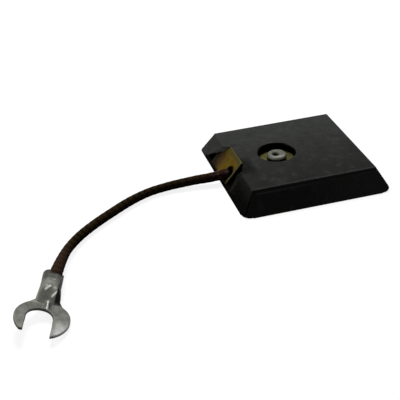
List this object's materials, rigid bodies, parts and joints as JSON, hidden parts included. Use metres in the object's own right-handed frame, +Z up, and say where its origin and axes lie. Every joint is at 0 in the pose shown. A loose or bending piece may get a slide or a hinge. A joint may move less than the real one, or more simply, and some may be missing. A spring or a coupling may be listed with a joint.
{
  "type": "carbon brush",
  "caption": "Square graphite brush block with bevelled sides, a sunk rivet, a brass end plate in a notch, and a short flexible that ends in a fork terminal.",
  "frame": {"origin": "centre of the block's underside", "axes": "+Z up through the block; -X towards the notch and the flexible; +Y to the broken side of the notch"},
  "size_m": [0.1102, 0.0792, 0.0068],
  "materials": {
    "graphite": "matte",
    "brass_plate": "dull",
    "brass_washer": "dull",
    "rivet_metal": "satin",
    "stranded_lead": "matte",
    "tinned_terminal": "satin"
  },
  "bodies": {
    "root": {"carbon_block": "graphite", "end_plate": "brass_plate", "contact_washer": "brass_washer", "rivet": "rivet_metal", "flexible": "stranded_lead", "fork_terminal": "tinned_terminal"}
  },
  "joints": []
}
